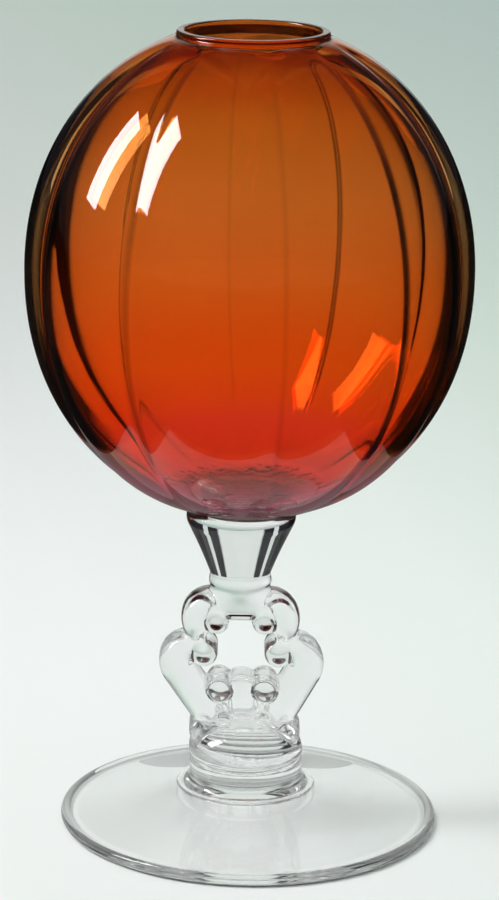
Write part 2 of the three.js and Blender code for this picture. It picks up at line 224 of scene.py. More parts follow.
def clear_glass(name, stretch, grain, ripple, shadow):
    """Clear lead glass with a trace of grey-green; stretch draws its striae out along the piece."""
    material, tree, nodes = bare_material(name)
    place = nodes.new("ShaderNodeTexCoord")
    drawn = nodes.new("ShaderNodeMapping")
    drawn.inputs["Location"].default_value = (-middle_at(0) * MM, 0, 0)
    drawn.inputs["Scale"].default_value = stretch
    link(tree, place.outputs["Object"], drawn.inputs["Vector"])
    striae = nodes.new("ShaderNodeGroup")
    striae.node_tree = glass_striae
    striae.inputs["Scale"].default_value = grain
    striae.inputs["Pale"].default_value = (0.985, 0.99, 0.988, 1)
    striae.inputs["Deep"].default_value = (0.94, 0.955, 0.948, 1)
    striae.inputs["Haze"].default_value = 0.03
    link(tree, drawn.outputs["Vector"], striae.inputs["Vector"])
    bump = nodes.new("ShaderNodeBump")
    bump.inputs["Strength"].default_value = ripple
    bump.inputs["Distance"].default_value = 0.0004
    link(tree, striae.outputs["Height"], bump.inputs["Height"])
    glass = nodes.new("ShaderNodeBsdfPrincipled")
    glass.inputs["Transmission Weight"].default_value = 1.0
    glass.inputs["IOR"].default_value = 1.53
    link(tree, striae.outputs["Color"], glass.inputs["Base Color"])
    link(tree, striae.outputs["Roughness"], glass.inputs["Roughness"])
    link(tree, bump.outputs["Normal"], glass.inputs["Normal"])
    finish_glass(tree, glass, shadow)
    return material


def ground_ring():
    """The turn of the rim where the foot stands, ground flat and left white and rough."""
    material = bpy.data.materials.new("ground_ring")
    material.use_nodes = True
    tree = material.node_tree
    grit = tree.nodes.new("ShaderNodeTexNoise")
    grit.inputs["Scale"].default_value = 4000.0
    place = tree.nodes.new("ShaderNodeTexCoord")
    link(tree, place.outputs["Object"], grit.inputs["Vector"])
    shade = tree.nodes.new("ShaderNodeValToRGB")
    shade.color_ramp.elements[0].color = (0.42, 0.44, 0.43, 1)
    shade.color_ramp.elements[1].color = (0.66, 0.68, 0.67, 1)
    link(tree, grit.outputs["Fac"], shade.inputs["Fac"])
    surface = tree.nodes["Principled BSDF"]
    surface.inputs["Roughness"].default_value = 0.8
    link(tree, shade.outputs["Color"], surface.inputs["Base Color"])
    return material


# where two pieces were melted together no surface is left, so light goes straight on
fused_seam, seam_tree, seam_nodes = bare_material("fused_seam")
seam_light = seam_nodes.new("ShaderNodeBsdfTransparent")
seam_out = seam_nodes.new("ShaderNodeOutputMaterial")
link(seam_tree, seam_light.outputs["BSDF"], seam_out.inputs["Surface"])

glass_striae = striae_group()
foot_rim_at = FOOT_RADIUS - FOOT_RIM
slope_top = (COLLAR_SPREAD, COLLAR_FOOT - SLOPE_DROP)
slope_sag = ((FOOT_VALLEY[0] + slope_top[0]) / 2, (FOOT_VALLEY[1] + slope_top[1]) / 2 - SLOPE_SAG)
hollow_span = math.hypot(FOOT_REST, HOLLOW_ROUND)
hollow_slope = FOOT_HOLLOW / (hollow_span - HOLLOW_ROUND)
hollow_radii = [FOOT_REST * i / 32 for i in range(33)]
foot_profile = [
    *[(r, hollow_slope * (hollow_span - math.hypot(r, HOLLOW_ROUND))) for r in hollow_radii],
    (GROUND_INNER, 0),
    *quarter_round(foot_rim_at, FOOT_RIM, FOOT_RIM, -90),
    *quarter_round(foot_rim_at, FOOT_RIM, FOOT_RIM, 0)[1:],
    *quarter_round(foot_rim_at, FOOT_RIM, FOOT_RIM, 90)[1:5],
    *bend(FOOT_VALLEY, slope_sag, slope_top, 24),
    *bend((COLLAR_SPREAD, COLLAR_FOOT), (COLLAR_RADIUS, COLLAR_FOOT), (COLLAR_RADIUS, COLLAR_FLARE), 16),
    (COLLAR_RADIUS, COLLAR_SIDE),
    (WAFER_SEAT, FOOT_TOP),
    (0, FOOT_TOP),
]
foot = turned("foot_glass", softened(foot_profile, FOOT_MELT), even_turn(TURN_FACETS))
spun_glass = clear_glass("spun_clear_glass", (0.6, 0.6, 3.0), 70.0, 0.05, (0.99, 0.99, 0.99))
foot.data.materials.append(spun_glass)
fuse(foot, [FOOT_TOP])
foot.data.materials.append(ground_ring())
for face in foot.data.polygons:
    corners = [foot.data.vertices[v].co / MM for v in face.vertices]
    radii = [math.hypot(corner.x - middle_at(corner.z), corner.y) for corner in corners]
    if min(radii) > GROUND_INNER - 0.1 and max(corner.z for corner in corners) < GROUND_TOP:
        face.material_index = len(foot.data.materials) - 1
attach(foot, "root")
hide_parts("foot")


# Wafer: a flat gob of clear glass, pressed between the stem and the foot while hot.
# It fuses the two, and its round edge stands out a little between them.
WAFER_TOP = 17.9
WAFER_BULGE = 14.4  # radius that its round edge heads for
wafer_edge = (WAFER_BULGE, (FOOT_TOP + WAFER_TOP) / 2)
wafer_profile = [
    (0, FOOT_TOP),
    *bend((WAFER_SEAT, FOOT_TOP), wafer_edge, (WAFER_SEAT, WAFER_TOP), 16),
    (0, WAFER_TOP),
]
wafer = turned("wafer_glass", wafer_profile, even_turn(TURN_FACETS))
THICK_SHADE = (0.82, 0.81, 0.815)  # tint of the shadow under the thick glass of wafer and stem
gob_glass = clear_glass("gob_clear_glass", (1.0, 1.0, 2.5), 120.0, 0.06, THICK_SHADE)
wafer.data.materials.append(gob_glass)
fuse(wafer, [FOOT_TOP, WAFER_TOP])
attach(wafer, "root")
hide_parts("foot_wafer")


# Stem: one pressing of clear glass with a keyhole opening between two pairs of scrolls, under a flared
# cup. Fire polish has melted its edges round, and it leans a little where it meets the foot.
STEM_DEPTH = 12.0
DOME_RADIUS = 14.5
DOME_FOOT = WAFER_TOP + 0.2
DOME_TOP = 27.2
DOME_FULLNESS = 2.4
DOME_STEPS = 41
ROPE_FULLNESS = 3.0
SILL = 38.7  # the bottom of the keyhole
YOKE_TOP = 61.3
NECK = 7.5
NECK_TOP = YOKE_TOP + 1.1
RING_TOP = 65.5
CUP_SHOULDER = (13.4, 78.9)
CUP_RADIUS = 13.8
CUP_SIDE = 80.8
STEM_TOP = 82.3
CUP_SEAT = 12.3  # radius of the fused joint between cup and bowl
SPARE = 2.0  # dome and cup run on this far before they are cut flat
POLISH = 0.00034  # size of the cells in which the melted surface is made
stem_parts = bmesh.new()


def add_faces(rings):
    """Skins a row of rings of points (mm) in the stem's mesh and closes both ends."""
    rows = [[stem_parts.verts.new(Vector(p) * MM) for p in ring] for ring in rings]
    for low, high in zip(rows, rows[1:]):
        for i in range(len(low)):
            j = (i + 1) % len(low)
            stem_parts.faces.new((low[i], low[j], high[j], high[i]))
    stem_parts.faces.new(rows[0][::-1])
    stem_parts.faces.new(rows[-1])


def add_turned(profile):
    """A part of the stem turned about the upright axis, closed flat at both ends."""
    add_faces([[(r * math.cos(a), r * math.sin(a), z) for a in even_turn(128)] for r, z in profile])


def add_roll(x, z, radius, softness):
    """A short roll that lies front to back, with rounded ends."""
    half = STEM_DEPTH / 2 + 0.7
    soft = min(softness, radius - 0.05)
    profile = quarter_round(radius - soft, soft - half, soft, -90)
    profile += quarter_round(radius - soft, half - soft, soft, 0)
    add_faces([[(x + r * math.sin(a), y, z + r * math.cos(a)) for a in even_turn(64)] for r, y in profile])


def fuller(share, fullness):
    """A share of a cosine or sine that draws a fuller form than an oval, which is 2."""
    return math.copysign(abs(share) ** (2 / fullness), share)


def add_rope(points, width):
    """A rope with a flat oval section, as deep as the stem, along points in the front plane."""
    rings = []
    for i, (x, z) in enumerate(points):
        ahead = Vector(points[min(i + 1, len(points) - 1)])
        behind = Vector(points[max(i - 1, 0)])
        along = (ahead - behind).normalized()
        ring = []
        for a in even_turn(64):
            side = width / 2 * fuller(math.cos(a), ROPE_FULLNESS)
            deep = STEM_DEPTH / 2 * fuller(math.sin(a), ROPE_FULLNESS)
            ring.append((x - along.y * side, deep, z + along.x * side))
        rings.append(ring)
    add_faces(rings)


def add_slab(outline, depth, edge):
    """An upright slab drawn in the front view, with its edges rounded."""
    front = [stem_parts.verts.new((x * MM, -depth / 2 * MM, z * MM)) for x, z in outline]
    back = [stem_parts.verts.new((x * MM, depth / 2 * MM, z * MM)) for x, z in outline]
    faces = [stem_parts.faces.new(front), stem_parts.faces.new(back[::-1])]
    for i in range(len(outline)):
        j = (i + 1) % len(outline)
        faces.append(stem_parts.faces.new((front[j], front[i], back[i], back[j])))
    edges = list({e for f in faces for e in f.edges})
    bmesh.ops.bevel(stem_parts, geom=edges, offset=edge * MM, segments=4, profile=0.5, affect="EDGES")


def arc(side, x, z, radius, first, last, steps=32):
    """Points round an arc in the front plane, clockwise on the right (1) and mirrored on the left (-1)."""
    angles = [math.radians(first + (last - first) * i / steps) for i in range(steps + 1)]
    return [(side * (x + radius * math.cos(a)), z + radius * math.sin(a)) for a in angles]


dome_profile = [(WAFER_SEAT, WAFER_TOP - SPARE), (WAFER_SEAT, WAFER_TOP)]
for i in range(DOME_STEPS):
    slope = math.pi / 2 * i / DOME_STEPS
    across = DOME_RADIUS * fuller(math.cos(slope), DOME_FULLNESS)
    rise = (DOME_TOP - DOME_FOOT) * fuller(math.sin(slope), DOME_FULLNESS)
    dome_profile.append((across, DOME_FOOT + rise))
add_turned(dome_profile)
add_turned(
    [
        *bend((4.5, YOKE_TOP - 5), (NECK, YOKE_TOP - 2.5), (NECK, NECK_TOP), 8),
        *bend((NECK, NECK_TOP), (8.4, 63.95), (NECK, RING_TOP), 12)[1:],
        *bend((NECK, RING_TOP), (10.1, 72.3), CUP_SHOULDER, 24)[1:],
        *bend(CUP_SHOULDER, (CUP_RADIUS, 79.7), (CUP_RADIUS, CUP_SIDE), 6)[1:],
        *bend((CUP_RADIUS, CUP_SIDE), (CUP_RADIUS, STEM_TOP), (CUP_SEAT + 0.3, STEM_TOP), 8)[1:],
        (CUP_SEAT, STEM_TOP + 0.2),
        (CUP_SEAT, STEM_TOP + SPARE),
    ]
)
eye_x, eye_z = 7.5, 53.8
scroll_x, scroll_z = 13.0, 42.2
scroll_line = 3.5
EYE_LINE = 4.0
YOKE_WIDTH = 7.0
LEG_WIDTH = 8.8
LEG_RUN_ON = 5.8  # the leg sinks this far into the dome
leg_x = 7.7
reach, drop = leg_x - scroll_x, DOME_TOP - scroll_z
leaving = math.degrees(math.atan2(drop, reach) + math.acos(scroll_line / math.hypot(reach, drop)))
yoke_left, yoke_right = (arc(side, eye_x, eye_z, EYE_LINE, 90, -70) for side in (-1, 1))
add_rope(yoke_left[::-1] + yoke_right, YOKE_WIDTH)
rolls = (  # distance from the middle, height, radius and softness
    (6.1, eye_z, 3.2, 2.4),
    (9.5, 45.5, 3.6, 2.4),
    (5.75, 35.85, 3.25, 1.2),
    (5.4, 28.0, 1.6, 1.2),
    (10.8, 24.5, 3.3, 2.4),
)
for side in (1, -1):
    leg = arc(side, scroll_x, scroll_z, scroll_line, 130, leaving, 48)
    landing = Vector((side * leg_x, DOME_TOP))
    down = (landing - Vector(leg[-1])).normalized()
    leg += [tuple(Vector(leg[-1]).lerp(landing + LEG_RUN_ON * down, i / 8)) for i in range(1, 9)]
    add_rope(leg, LEG_WIDTH)
    for aside, height, radius, softness in rolls:
        add_roll(side * aside, height, radius, softness)
add_slab([(-leg_x, DOME_FOOT), (leg_x, DOME_FOOT), (13.0, 35.45), (-13.0, 35.45)], 7.0, 1.2)
post_side = 2.85
post_crown = bend((post_side, SILL - 0.7), (0, SILL + 0.7), (-post_side, SILL - 0.7), 10)
add_slab([(-post_side, DOME_FOOT), (post_side, DOME_FOOT), *post_crown], STEM_DEPTH, 1.2)
for widening, step_top in ((0.4, 28.4), (0.8, 27.4)):
    step_side = post_side + widening
    step = [(-step_side, DOME_FOOT), (step_side, DOME_FOOT), (step_side, step_top), (-step_side, step_top)]
    add_slab(step, STEM_DEPTH + 2 * widening, 0.4)
SADDLE_STEPS = 12
SADDLE_FOOT = 54.5
SADDLE_SIDE = 8.5
saddle_rings = []
for i in range(SADDLE_STEPS + 1):
    up = i / SADDLE_STEPS
    broad = SADDLE_SIDE + (NECK - SADDLE_SIDE) * up
    deep = STEM_DEPTH / 2 + (NECK - STEM_DEPTH / 2) * up
    square = 4.5 - 2.5 * up
    level = SADDLE_FOOT + (NECK_TOP - SADDLE_FOOT) * up
    turns = even_turn(96)
    saddle_rings.append(
        [(broad * fuller(math.cos(a), square), deep * fuller(math.sin(a), square), level) for a in turns]
    )
add_faces(saddle_rings)

rough_stem = bpy.data.objects.new("stem_parts", bpy.data.meshes.new("stem_parts"))
stem_parts.to_mesh(rough_stem.data)
stem_parts.free()
scene.collection.objects.link(rough_stem)
melt = rough_stem.modifiers.new("melt", "REMESH")
melt.mode = "VOXEL"
melt.voxel_size = POLISH
fire_polish = rough_stem.modifiers.new("fire_polish", "SMOOTH")
fire_polish.factor = 0.5
fire_polish.iterations = 10
melted = bpy.data.meshes.new_from_object(rough_stem.evaluated_get(bpy.context.evaluated_depsgraph_get()))
bpy.data.objects.remove(rough_stem)
cut = bmesh.new()
cut.from_mesh(melted)
shells = []
waiting = set(cut.verts)
while waiting:
    shell, fresh = set(), [waiting.pop()]
    while fresh:
        vert = fresh.pop()
        shell.add(vert)
        near = {edge.other_vert(vert) for edge in vert.link_edges} & waiting
        waiting -= near
        fresh += near
    shells.append(shell)
shells.sort(key=len)
for pocket in shells[:-1]:
    bmesh.ops.delete(cut, geom=list(pocket), context="VERTS")
for height, up in ((WAFER_TOP, -1), (STEM_TOP, 1)):
    everything = cut.verts[:] + cut.edges[:] + cut.faces[:]
    found = bmesh.ops.bisect_plane(
        cut, geom=everything, plane_co=(0, 0, height * MM), plane_no=(0, 0, up), clear_outer=True
    )
    rim_edges = [g for g in found["geom_cut"] if isinstance(g, bmesh.types.BMEdge)]
    bmesh.ops.contextual_create(cut, geom=rim_edges)
for vert in cut.verts:
    vert.co.x += middle_at(vert.co.z / MM) * MM
for face in cut.faces:
    face.smooth = True
cut.to_mesh(melted)
cut.free()
melted.name = "stem_glass"
stem = bpy.data.objects.new("stem_glass", melted)
scene.collection.objects.link(stem)
pressed_glass = clear_glass("pressed_clear_glass", (1.0, 1.0, 0.7), 160.0, 0.08, THICK_SHADE)
stem.data.materials.append(pressed_glass)
fuse(stem, [WAFER_TOP, STEM_TOP])
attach(stem, "root")
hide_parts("stem")


# Bowl: a globe of amber glass, blown in a melon mould that gave it ten ribs, with a thick base and a
# short ground collar at its mouth. Its colour was struck by heat, from amber at the top to ruby below.
BOWL_RADIUS = 55.49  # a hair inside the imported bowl
CROWN = (61.6, 2.05)  # height of the upper half above the belly and the fullness of its profile
BASE = (-61.3, 2.12)  # and of the lower half
BELLY = 143.2
RIM_RADIUS = 18.7
RIM_SIDE = 202.3
RIM_EDGE = 0.6
MOUTH_RADIUS = 16.7
INNER_RADIUS = 52.8
FLOOR_CORNER = (14.4, 85.6)  # radius and height of the edge of the flat floor inside
BASE_EDGE = 15.6  # radius at which the lower half ends
CROWN_EDGE = 19.7  # and the upper half
JOINT_RADIUS = 13.0
COLLAR_WAIST = 18.3
BOWL_TOP = 203.0
PAINTED_EDGE_SHADE = (0.60, 0.69)  # how far the glass is turned away where the painted shade at its edges starts and ends
PEBBLED = (0.0860, 0.0857)  # heights between which the chilled floor inside turns pebbly
RIB_COUNT = 10
RIB_PHASE = math.radians(7.5)  # from the front to the nearest groove
FACETS_PER_RIB = 30


def half_globe(radius, rise, fullness, first, last, steps=44):
    """Points on a quarter of a full oval about the belly, between two radii; rise is down if < 0."""
    start, end = (math.acos((edge / radius) ** (fullness / 2)) for edge in (first, last))
    points = []
    for i in range(steps + 1):
        angle = start + (end - start) * i / steps
        across = radius * fuller(math.cos(angle), fullness)
        points.append((across, BELLY + rise * fuller(math.sin(angle), fullness)))
    return points


def rib_angles():
    """Angles round the bowl that crowd together at the grooves; angle 0 lies along +X."""
    half = math.pi / RIB_COUNT
    angles = []
    for rib in range(RIB_COUNT):
        for i in range(FACETS_PER_RIB):
            t = 2 * i / FACETS_PER_RIB - 1
            crowded = t + 0.75 * math.sin(math.pi * t) / math.pi
            angles.append(RIB_PHASE - math.pi / 2 + half * (2 * rib + 1 + crowded))
    return angles


def set_stops(ramp, stops):
    """Gives a colour ramp these stops, each a place and a colour."""
    while len(ramp.color_ramp.elements) < len(stops):
        ramp.color_ramp.elements.new(0.5)
    for element, (at, colour) in zip(ramp.color_ramp.elements, stops):
        element.position = at
        element.color = (*colour, 1)


def amber_glass():
    """Amber glass, redder low down, with drawn-out striae; shade is painted into its colour where it is
    seen edge on and along its grooves.
    """
    material, tree, nodes = bare_material("struck_amber_glass")
    place = nodes.new("ShaderNodeTexCoord")
    drawn = nodes.new("ShaderNodeMapping")
    drawn.inputs["Scale"].default_value = (1.0, 1.0, 0.22)
    link(tree, place.outputs["Object"], drawn.inputs["Vector"])
    striae = nodes.new("ShaderNodeGroup")
    striae.node_tree = glass_striae
    striae.inputs["Scale"].default_value = 55.0
    striae.inputs["Deep"].default_value = (0.97, 0.88, 0.84, 1)
    striae.inputs["Haze"].default_value = 0.02
    link(tree, drawn.outputs["Vector"], striae.inputs["Vector"])
    axes = nodes.new("ShaderNodeSeparateXYZ")
    link(tree, place.outputs["Object"], axes.inputs["Vector"])
    climb = nodes.new("ShaderNodeMapRange")
    climb.inputs["From Min"].default_value = STEM_TOP * MM
    climb.inputs["From Max"].default_value = BOWL_TOP * MM
    link(tree, axes.outputs["Z"], climb.inputs["Value"])

    def by_height(stops):
        ramp = nodes.new("ShaderNodeValToRGB")
        ramp.color_ramp.interpolation = "EASE"
        set_stops(ramp, stops)
        link(tree, climb.outputs["Result"], ramp.inputs["Fac"])
        return ramp.outputs["Color"]

    struck = by_height(
        (
            (0.0, (0.06, 0.025, 0.04)),
            (0.017, (0.16, 0.06, 0.10)),
            (0.03, (0.76, 0.15, 0.25)),
            (0.10, (0.91, 0.165, 0.25)),
            (0.16, (0.95, 0.205, 0.075)),
            (0.23, (0.98, 0.245, 0.045)),
            (0.42, (1.0, 0.365, 0.10)),
            (0.70, (1.0, 0.47, 0.165)),
            (0.86, (0.94, 0.365, 0.075)),
            (0.93, (0.84, 0.27, 0.045)),
            (0.965, (0.62, 0.14, 0.015)),
        )
    )
    # Painted shade: a colour by height, near black over most of the bowl. It goes where the glass is seen
    # edge on and along the grooves, in place of the dark room seen through it. Low down it keeps the
    # glass's own pink-red.
    painted_shade_colour = by_height(
        (
            (0.0, (0.06, 0.025, 0.04)),
            (0.03, (0.74, 0.15, 0.25)),
            (0.125, (0.90, 0.18, 0.28)),
            (0.16, (0.35, 0.06, 0.07)),
            (0.20, (0.006, 0.003, 0.003)),
            (0.72, (0.006, 0.003, 0.003)),
            (0.84, (0.09, 0.025, 0.02)),
            (0.93, (0.28, 0.06, 0.03)),
            (0.965, (0.50, 0.10, 0.01)),
        )
    )
    clouded = nodes.new("ShaderNodeMix")
    clouded.data_type = "RGBA"
    clouded.blend_type = "MULTIPLY"
    clouded.inputs["Factor"].default_value = 1.0
    link(tree, struck, clouded.inputs["A"])
    link(tree, striae.outputs["Color"], clouded.inputs["B"])
    slant = nodes.new("ShaderNodeLayerWeight")
    slant.inputs["Blend"].default_value = 0.5
    # the groove attribute tells where shade lines are painted along the grooves
    groove = nodes.new("ShaderNodeAttribute")
    groove.attribute_name = "groove"

    def eased_in(source, low, high):
        ramp = nodes.new("ShaderNodeMapRange")
        ramp.interpolation_type = "SMOOTHSTEP"
        ramp.inputs["From Min"].default_value = low
        ramp.inputs["From Max"].default_value = high
        link(tree, source, ramp.inputs["Value"])
        return ramp.outputs["Result"]

    # painted shade mask: the greater of how edge on the glass is seen and the painted groove lines
    painted_shade_mask = nodes.new("ShaderNodeMath")
    painted_shade_mask.operation = "MAXIMUM"
    link(tree, eased_in(slant.outputs["Facing"], *PAINTED_EDGE_SHADE), painted_shade_mask.inputs[0])
    link(tree, groove.outputs["Fac"], painted_shade_mask.inputs[1])
    shade_painted = nodes.new("ShaderNodeMix")
    shade_painted.data_type = "RGBA"
    link(tree, painted_shade_mask.outputs[0], shade_painted.inputs["Factor"])
    link(tree, clouded.outputs["Result"], shade_painted.inputs["A"])
    link(tree, painted_shade_colour, shade_painted.inputs["B"])
    bump = nodes.new("ShaderNodeBump")
    bump.inputs["Strength"].default_value = 0.05
    bump.inputs["Distance"].default_value = 0.0004
    link(tree, striae.outputs["Height"], bump.inputs["Height"])
    pebbles = nodes.new("ShaderNodeTexNoise")
    pebbles.inputs["Scale"].default_value = 420.0
    pebbles.inputs["Detail"].default_value = 2.0
    link(tree, place.outputs["Object"], pebbles.inputs["Vector"])
    chilled = nodes.new("ShaderNodeBump")
    chilled.inputs["Distance"].default_value = 0.0008
    link(tree, eased_in(axes.outputs["Z"], *PEBBLED), chilled.inputs["Strength"])
    link(tree, pebbles.outputs["Fac"], chilled.inputs["Height"])
    link(tree, bump.outputs["Normal"], chilled.inputs["Normal"])
    glass = nodes.new("ShaderNodeBsdfPrincipled")
    glass.inputs["Transmission Weight"].default_value = 1.0
    glass.inputs["IOR"].default_value = 1.52
    link(tree, shade_painted.outputs["Result"], glass.inputs["Base Color"])
    link(tree, striae.outputs["Roughness"], glass.inputs["Roughness"])
    link(tree, chilled.outputs["Normal"], glass.inputs["Normal"])
    finish_glass(tree, glass, (0.98, 0.974, 0.972))
    return material


def purple_joint():
    """Where the gather on the cup melted into the bowl: nothing refracts, but colour gathered there."""
    material, tree, nodes = bare_material("purple_joint")
    place = nodes.new("ShaderNodeTexCoord")
    blotches = nodes.new("ShaderNodeTexNoise")
    blotches.inputs["Scale"].default_value = 520.0
    blotches.inputs["Detail"].default_value = 3.0
    link(tree, place.outputs["Object"], blotches.inputs["Vector"])
    tint = nodes.new("ShaderNodeValToRGB")
    tint.color_ramp.elements[0].position = 0.35
    tint.color_ramp.elements[0].color = (0.03, 0.012, 0.02, 1)
    tint.color_ramp.elements[1].position = 0.66
    tint.color_ramp.elements[1].color = (0.28, 0.14, 0.20, 1)
    link(tree, blotches.outputs["Fac"], tint.inputs["Fac"])
    joint = nodes.new("ShaderNodeBsdfTransparent")
    link(tree, tint.outputs["Color"], joint.inputs["Color"])
    finish = nodes.new("ShaderNodeOutputMaterial")
    link(tree, joint.outputs["BSDF"], finish.inputs["Surface"])
    return material


def melon_tree():
    """Presses the ribs into the globe, marks where shade is painted along its grooves, drops seeds of air
    into its base, glazes it.
    """
    tree = bpy.data.node_groups.new("melon_ribs", "GeometryNodeTree")
    for name, kind in (
        ("Globe", "NodeSocketGeometry"),
        ("Rib Count", "NodeSocketFloat"),
        ("Rib Phase", "NodeSocketFloat"),
        ("Rib Drift", "NodeSocketFloat"),
        ("Side Drift", "NodeSocketFloat"),
        ("Shade Line Width", "NodeSocketFloat"),
        ("Groove Depth", "NodeSocketFloat"),
        ("Groove Round", "NodeSocketFloat"),
        ("Bowl Radius", "NodeSocketFloat"),
        ("Rim Radius", "NodeSocketFloat"),
        ("Run Out", "NodeSocketFloat"),
        ("Inner Share", "NodeSocketFloat"),
        ("Seed Size", "NodeSocketFloat"),
        ("Seed Crowd", "NodeSocketFloat"),
        ("Seed Depth", "NodeSocketFloat"),
        ("Seed Ceiling", "NodeSocketFloat"),
        ("Glass", "NodeSocketMaterial"),
        ("Seam", "NodeSocketMaterial"),
        ("Seam Height", "NodeSocketFloat"),
    ):
        tree.interface.new_socket(name=name, in_out="INPUT", socket_type=kind)
    tree.interface.new_socket(name="Bowl", in_out="OUTPUT", socket_type="NodeSocketGeometry")
    nodes = tree.nodes
    given = nodes.new("NodeGroupInput").outputs
    result = nodes.new("NodeGroupOutput")

    def put(value, socket):
        if isinstance(value, (int, float)):
            socket.default_value = value
        else:
            link(tree, value, socket)

    def calc(operation, *values):
        node = nodes.new("ShaderNodeMath")
        node.operation = operation
        for value, socket in zip(values, node.inputs):
            put(value, socket)
        return node.outputs[0]

    def eased(value, low, high):
        ramp = nodes.new("ShaderNodeMapRange")
        ramp.interpolation_type = "SMOOTHSTEP"
        put(value, ramp.inputs["Value"])
        put(low, ramp.inputs["From Min"])
        put(high, ramp.inputs["From Max"])
        return ramp.outputs["Result"]

    def hypot(a, b):
        return calc("SQRT", calc("ADD", calc("MULTIPLY", a, a), calc("MULTIPLY", b, b)))

    axes = nodes.new("ShaderNodeSeparateXYZ")
    link(tree, nodes.new("GeometryNodeInputPosition").outputs[0], axes.inputs[0])
    x, y, z = axes.outputs
    radius = hypot(x, y)
    half = calc("DIVIDE", math.pi, given["Rib Count"])
    azimuth = calc("ADD", calc("ARCTAN2", y, x), math.pi / 2)
    front = calc("MAXIMUM", calc("COSINE", azimuth), 0)
    pull = calc("COSINE", calc("MULTIPLY", calc("ADD", azimuth, math.radians(28.5)), 3))
    drift = calc("MULTIPLY", calc("MULTIPLY", pull, front), given["Rib Drift"])
    side_drift = calc("MULTIPLY", calc("POWER", calc("SINE", azimuth), 4), given["Side Drift"])
    evened = calc("ADD", calc("ADD", azimuth, drift), side_drift)
    turn = calc("WRAP", calc("SUBTRACT", evened, given["Rib Phase"]), half, calc("MULTIPLY", half, -1))
    soft = calc("DIVIDE", given["Groove Round"], given["Bowl Radius"])
    from_crest = calc("SUBTRACT", hypot(half, soft), hypot(turn, soft))
    groove = calc("SUBTRACT", 1, calc("DIVIDE", given["Groove Depth"], given["Bowl Radius"]))
    reach = calc("SUBTRACT", 1, calc("MULTIPLY", groove, groove))
    lever = calc("MULTIPLY", calc("SUBTRACT", 1, calc("MULTIPLY", groove, calc("COSINE", half))), 2)
    centre = calc("DIVIDE", reach, lever)
    rib = calc("SUBTRACT", 1, centre)
    aside = calc("MULTIPLY", centre, calc("SINE", from_crest))
    swell = calc("SQRT", calc("SUBTRACT", calc("MULTIPLY", rib, rib), calc("MULTIPLY", aside, aside)))
    share = calc("ADD", calc("MULTIPLY", centre, calc("COSINE", from_crest)), swell)
    fade = eased(radius, given["Rim Radius"], calc("ADD", given["Rim Radius"], given["Run Out"]))
    inner = nodes.new("GeometryNodeInputNamedAttribute")
    inner.data_type = "FLOAT"
    inner.inputs["Name"].default_value = "inner_wall"
    inner = inner.outputs["Attribute"]
    depth = calc("ADD", calc("MULTIPLY", inner, calc("SUBTRACT", given["Inner Share"], 1)), 1)
    dent = calc("MULTIPLY", calc("MULTIPLY", depth, fade), calc("SUBTRACT", 1, share))
    scale = calc("SUBTRACT", 1, dent)
    pressed = nodes.new("ShaderNodeCombineXYZ")
    link(tree, calc("MULTIPLY", x, scale), pressed.inputs[0])
    link(tree, calc("MULTIPLY", y, scale), pressed.inputs[1])
    link(tree, z, pressed.inputs[2])
    ribbed = nodes.new("GeometryNodeSetPosition")
    link(tree, pressed.outputs[0], ribbed.inputs["Position"])

    # Painted shade lines along the grooves, stored as the groove attribute for the glass to turn dark:
    # faint where a groove faces the front or back, full at the sides, wider on the front right.
    sideways = eased(calc("ABSOLUTE", calc("SINE", azimuth)), 0.30, 0.52)
    rightward = eased(calc("SINE", azimuth), 0.2, 0.75)
    before = eased(calc("COSINE", azimuth), -0.1, 0.1)
    broad = calc("MULTIPLY", calc("MULTIPLY", rightward, before), 1.2)
    widening = calc("ADD", calc("ADD", broad, 0.5), calc("MULTIPLY", before, 0.3))
    width = calc("MULTIPLY", given["Shade Line Width"], widening)
    aside_groove = calc("DIVIDE", calc("MULTIPLY", turn, radius), width)
    shade_line = calc("EXPONENT", calc("MULTIPLY", calc("MULTIPLY", aside_groove, aside_groove), -1))
    shade_line = calc("MINIMUM", calc("MULTIPLY", shade_line, 1.4), 1)
    shade_line = calc("MULTIPLY", shade_line, calc("ADD", calc("MULTIPLY", sideways, 0.88), 0.12))
    marked = nodes.new("GeometryNodeStoreNamedAttribute")
    marked.data_type = "FLOAT"
    marked.domain = "POINT"
    marked.inputs["Name"].default_value = "groove"
    link(tree, given["Globe"], marked.inputs["Geometry"])
    put(calc("MULTIPLY", shade_line, fade), marked.inputs["Value"])
    link(tree, marked.outputs[0], ribbed.inputs["Geometry"])

